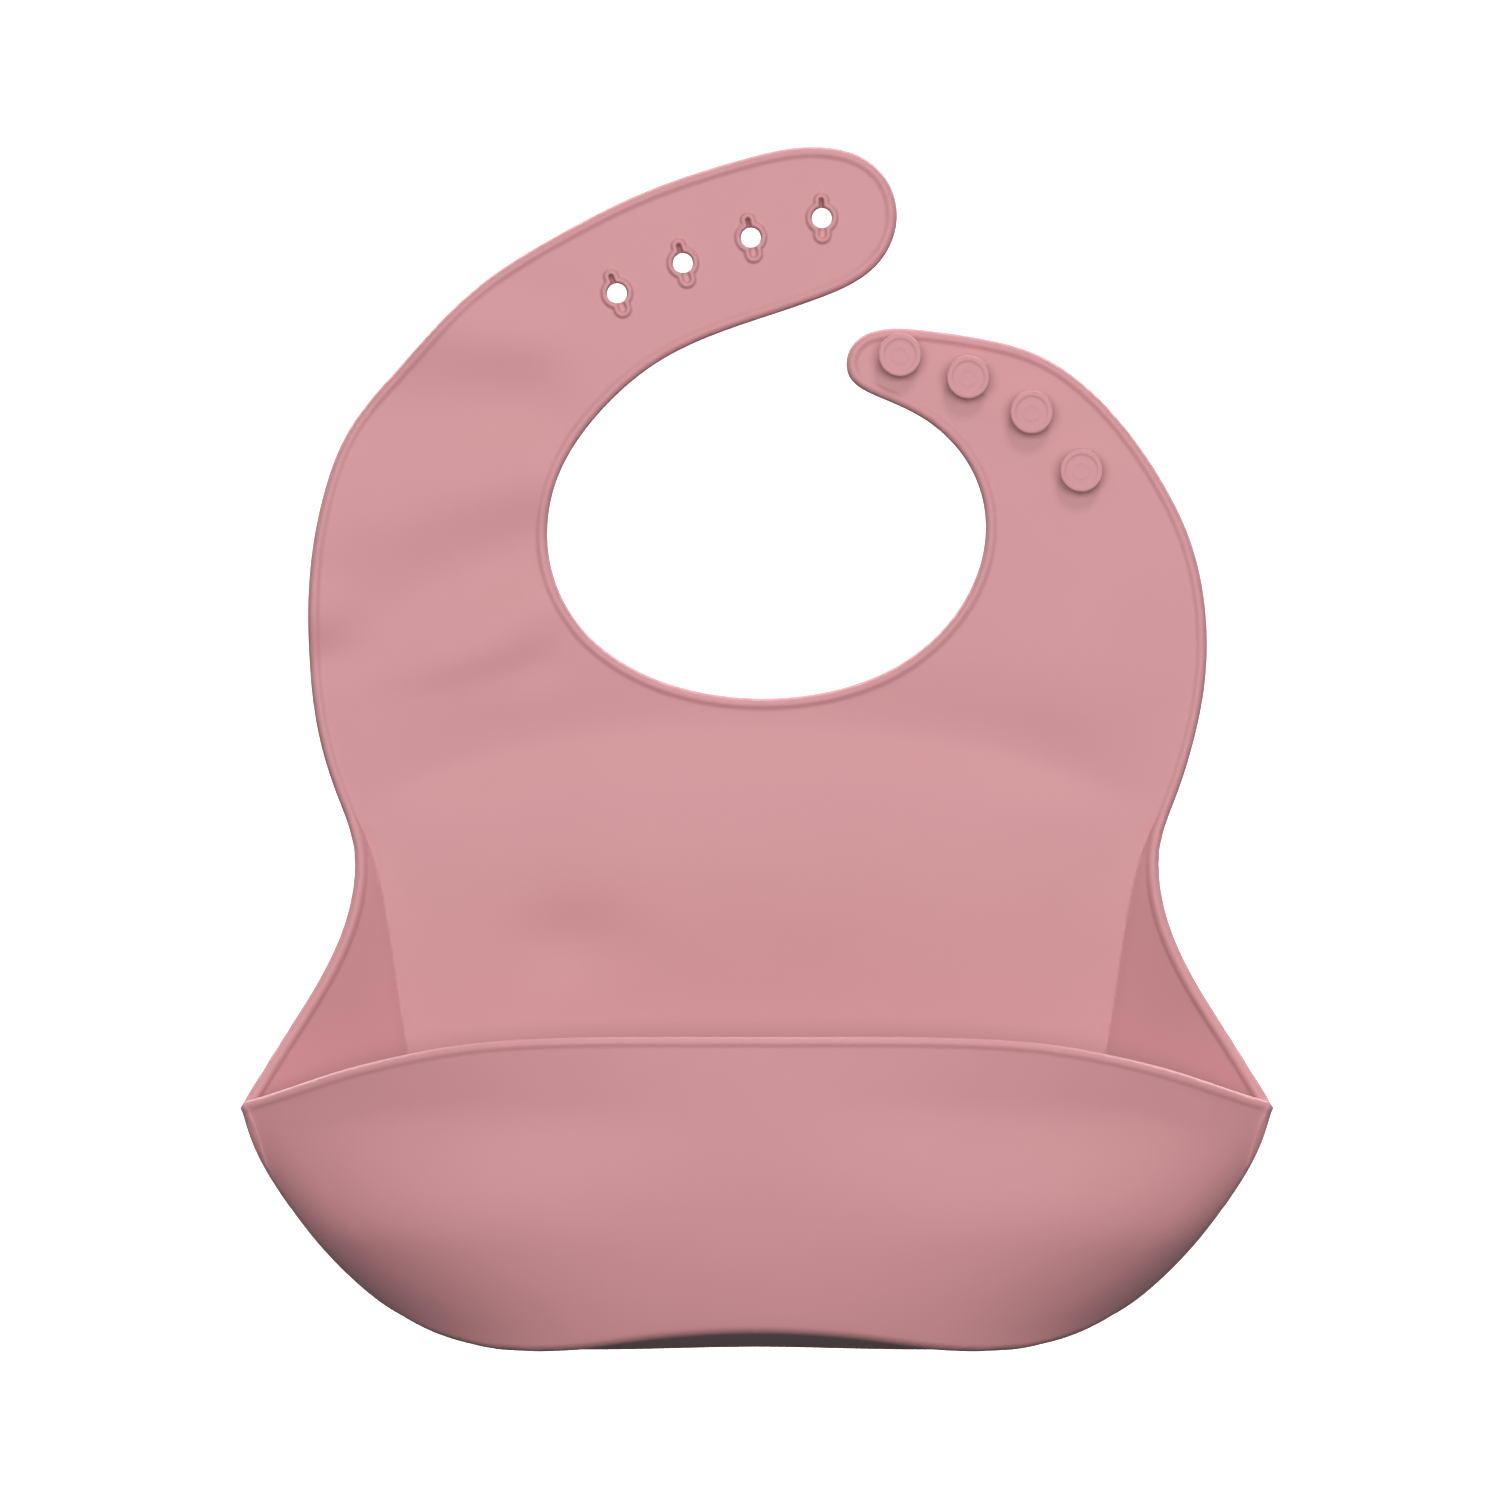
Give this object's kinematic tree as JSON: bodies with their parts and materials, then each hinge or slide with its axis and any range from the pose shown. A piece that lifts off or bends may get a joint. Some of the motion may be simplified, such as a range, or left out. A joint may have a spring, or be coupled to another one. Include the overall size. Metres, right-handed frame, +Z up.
{
  "type": "silicone bib",
  "caption": "Soft silicone baby bib with a wide open catch pocket, a raised rim, and two neck straps that fasten with studs and keyholes.",
  "frame": {"origin": "centre of the neck opening, half way through the sheet", "axes": "+Z up towards the straps' ends, -Y out of the front, where the pocket is, +X to the viewer's right"},
  "size_m": [0.24, 0.0468, 0.283],
  "materials": {
    "silicone": "matte"
  },
  "bodies": {
    "chest": {"chest_panel": "silicone", "neck_bead": "silicone", "chest_bead_left": "silicone", "chest_bead_right": "silicone"},
    "hole_strap_root": {"hole_strap_panel": "silicone", "hole_strap_bead_outer": "silicone", "hole_strap_bead_inner": "silicone"},
    "hole_strap_tip": {"hole_tip_panel": "silicone", "hole_tip_bead": "silicone", "eyelet_1": "silicone", "eyelet_2": "silicone", "eyelet_3": "silicone", "eyelet_4": "silicone"},
    "stud_strap_root": {"stud_strap_panel": "silicone", "stud_strap_bead_outer": "silicone", "stud_strap_bead_inner": "silicone", "stud_4": "silicone"},
    "stud_strap_tip": {"stud_tip_panel": "silicone", "stud_tip_bead": "silicone", "stud_1": "silicone", "stud_2": "silicone", "stud_3": "silicone"},
    "apron": {"back_panel": "silicone", "gusset_left": "silicone", "gusset_right": "silicone", "gusset_bead_left": "silicone", "gusset_bead_right": "silicone", "cheek_left": "silicone", "cheek_right": "silicone", "lip_bead_left": "silicone", "lip_bead_right": "silicone", "pocket_floor": "silicone"},
    "pocket_front": {"front_wall": "silicone", "lip_bead_centre": "silicone"}
  },
  "joints": [
    {"name": "waist_fold", "type": "hinge", "parent": "chest", "child": "apron", "pos_m": [0, 0, -0.065], "axis": [-1, 0, 0], "range_deg": [-20, 110], "stiffness_Nm_per_rad": 0.3},
    {"name": "pocket_open", "type": "hinge", "parent": "apron", "child": "pocket_front", "pos_m": [0, -0.017, -0.1835], "axis": [1, 0, 0], "range_deg": [-12, 18], "stiffness_Nm_per_rad": 0.3},
    {"name": "hole_strap_root_bend", "type": "hinge", "parent": "chest", "child": "hole_strap_root", "pos_m": [-0.075, 0, 0.003], "axis": [-1, 0, 0], "range_deg": [-45, 75], "stiffness_Nm_per_rad": 0.2},
    {"name": "hole_strap_tip_bend", "type": "hinge", "parent": "hole_strap_root", "child": "hole_strap_tip", "pos_m": [-0.0475, 0, 0.0475], "axis": [-0.7071, 0, 0.7071], "range_deg": [-45, 75], "stiffness_Nm_per_rad": 0.15},
    {"name": "stud_strap_root_bend", "type": "hinge", "parent": "chest", "child": "stud_strap_root", "pos_m": [0.078, 0, 0.003], "axis": [-1, 0, 0], "range_deg": [-45, 75], "stiffness_Nm_per_rad": 0.2},
    {"name": "stud_strap_tip_bend", "type": "hinge", "parent": "stud_strap_root", "child": "stud_strap_tip", "pos_m": [0.0685, 0, 0.0224], "axis": [-0.9477, 0, -0.3192], "range_deg": [-45, 75], "stiffness_Nm_per_rad": 0.12}
  ]
}
